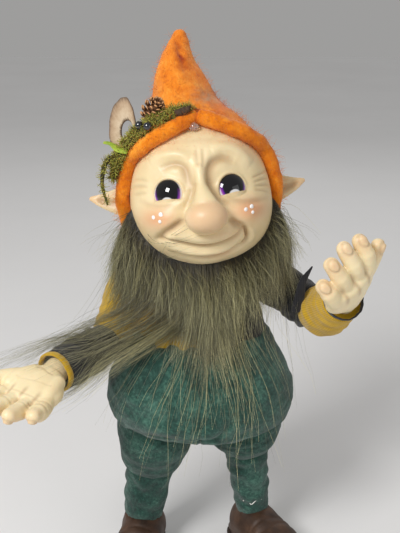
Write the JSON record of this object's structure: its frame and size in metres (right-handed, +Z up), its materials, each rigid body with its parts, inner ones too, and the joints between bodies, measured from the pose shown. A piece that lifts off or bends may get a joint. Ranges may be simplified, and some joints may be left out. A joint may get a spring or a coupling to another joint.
{
  "type": "elf figurine",
  "caption": "Standing bearded elf art doll with a pointed felt hat dressed with moss and a cone, clay face and hands, knit shirt, fleece trousers and wire-framed limbs that pose.",
  "frame": {"origin": "on the floor under the middle of the outer box", "axes": "+Z up, the figure faces -Y, its own right is -X"},
  "size_m": [0.1788, 0.1166, 0.2747],
  "materials": {
    "stuffing": "polyester stuffing",
    "dowel": "plain dowel",
    "wire": "soft armature wire",
    "green_fleece": "brushed fleece",
    "yellow_knit": "fine jersey",
    "black_knit": "fine jersey",
    "face_clay": "smooth satin polymer clay with a thin blush",
    "eye_glass": "clear glass cabochon over a painted pupil",
    "orange_felt": "needle-felted wool",
    "brim_felt": "rolled needle-felted wool",
    "moss": "dried moss",
    "cone_wood": "dry alder cone",
    "dried_fungus": "dried slice with concentric zones",
    "grass": "waxy blade",
    "dark_bead": "shiny dark berry bead",
    "twig_wood": "dry twig",
    "glue": "clear drop",
    "beard_hair": "long straight faux-fur hair, olive grey",
    "shoe_brown": "dull brown",
    "sole_brown": "dull dark brown",
    "hand_clay": "smooth satin polymer clay with a brown wash in the creases"
  },
  "bodies": {
    "torso": {"body_padding": "stuffing", "neck_dowel": "dowel", "hip_wire": "wire", "shoulder_wire": "wire", "trouser_seat": "green_fleece", "shirt_right_half": "yellow_knit", "shirt_left_half": "black_knit"},
    "head": {"head": "face_clay", "right_eye": "eye_glass", "left_eye": "eye_glass", "right_ear": "face_clay", "left_ear": "face_clay", "felt_hat": "orange_felt", "hat_brim": "brim_felt", "moss_bed": "moss", "moss_trail": "moss", "pine_cone": "cone_wood", "fungus_ring": "dried_fungus", "grass_blade": "grass", "hat_bead_1": "dark_bead", "hat_bead_2": "dark_bead", "twig": "twig_wood", "glue_drop": "glue", "beard_chin": "beard_hair", "beard_right": "beard_hair", "beard_left": "beard_hair"},
    "right_leg": {"right_leg_wire": "wire", "right_trouser_leg": "green_fleece", "right_trouser_cuff": "green_fleece", "right_shoe": "shoe_brown", "right_sole": "sole_brown"},
    "right_upper_arm": {"right_upper_sleeve": "yellow_knit", "right_upper_arm_wire": "wire"},
    "right_forearm": {"right_forearm_sleeve": "black_knit", "right_forearm_wire": "wire", "right_cuff": "yellow_knit"},
    "right_hand": {"right_hand": "hand_clay"},
    "left_leg": {"left_leg_wire": "wire", "left_trouser_leg": "green_fleece", "left_trouser_cuff": "green_fleece", "left_shoe": "shoe_brown", "left_sole": "sole_brown"},
    "left_upper_arm": {"left_upper_sleeve": "black_knit", "left_upper_arm_wire": "wire"},
    "left_forearm": {"left_forearm_sleeve": "yellow_knit", "left_forearm_wire": "wire", "left_cuff": "black_knit"},
    "left_hand": {"left_hand": "hand_clay"}
  },
  "joints": [
    {"name": "neck_turn", "type": "hinge", "parent": "torso", "child": "head", "pos_m": [0.00956, 0.02626, 0.1645], "axis": [0, 0, 1], "range_deg": [-35, 35], "deforming": ["beard_chin", "beard_right", "beard_left"]},
    {"name": "right_shoulder_lift", "type": "hinge", "parent": "torso", "child": "right_upper_arm", "pos_m": [-0.02394, 0.02626, 0.15694], "axis": [0, 1, 0], "range_deg": [0, 70]},
    {"name": "right_elbow_bend", "type": "hinge", "parent": "right_upper_arm", "child": "right_forearm", "pos_m": [-0.03358, 0.018, 0.12757], "axis": [-0.8348, 0.5366, 0.123], "range_deg": [-40, 20]},
    {"name": "right_wrist_turn", "type": "hinge", "parent": "right_forearm", "child": "right_hand", "pos_m": [-0.05526, -0.01561, 0.12702], "axis": [-0.5421, -0.8402, -0.0136], "range_deg": [-60, 60]},
    {"name": "left_shoulder_lift", "type": "hinge", "parent": "torso", "child": "left_upper_arm", "pos_m": [0.04306, 0.02626, 0.15694], "axis": [0, -1, 0], "range_deg": [-20, 40]},
    {"name": "left_elbow_bend", "type": "hinge", "parent": "left_upper_arm", "child": "left_forearm", "pos_m": [0.06871, 0.02735, 0.13784], "axis": [-0.5029, -0.5015, -0.704], "range_deg": [-40, 20]},
    {"name": "left_wrist_turn", "type": "hinge", "parent": "left_forearm", "child": "left_hand", "pos_m": [0.07488, -0.00679, 0.15775], "axis": [0.1541, -0.8535, 0.4979], "range_deg": [-60, 60]},
    {"name": "right_hip_swing", "type": "hinge", "parent": "torso", "child": "right_leg", "pos_m": [-0.01294, 0.02326, 0.08], "axis": [-1, 0, 0], "range_deg": [-12, 20]},
    {"name": "left_hip_swing", "type": "hinge", "parent": "torso", "child": "left_leg", "pos_m": [0.03206, 0.02326, 0.08], "axis": [-1, 0, 0], "range_deg": [-12, 20]}
  ]
}
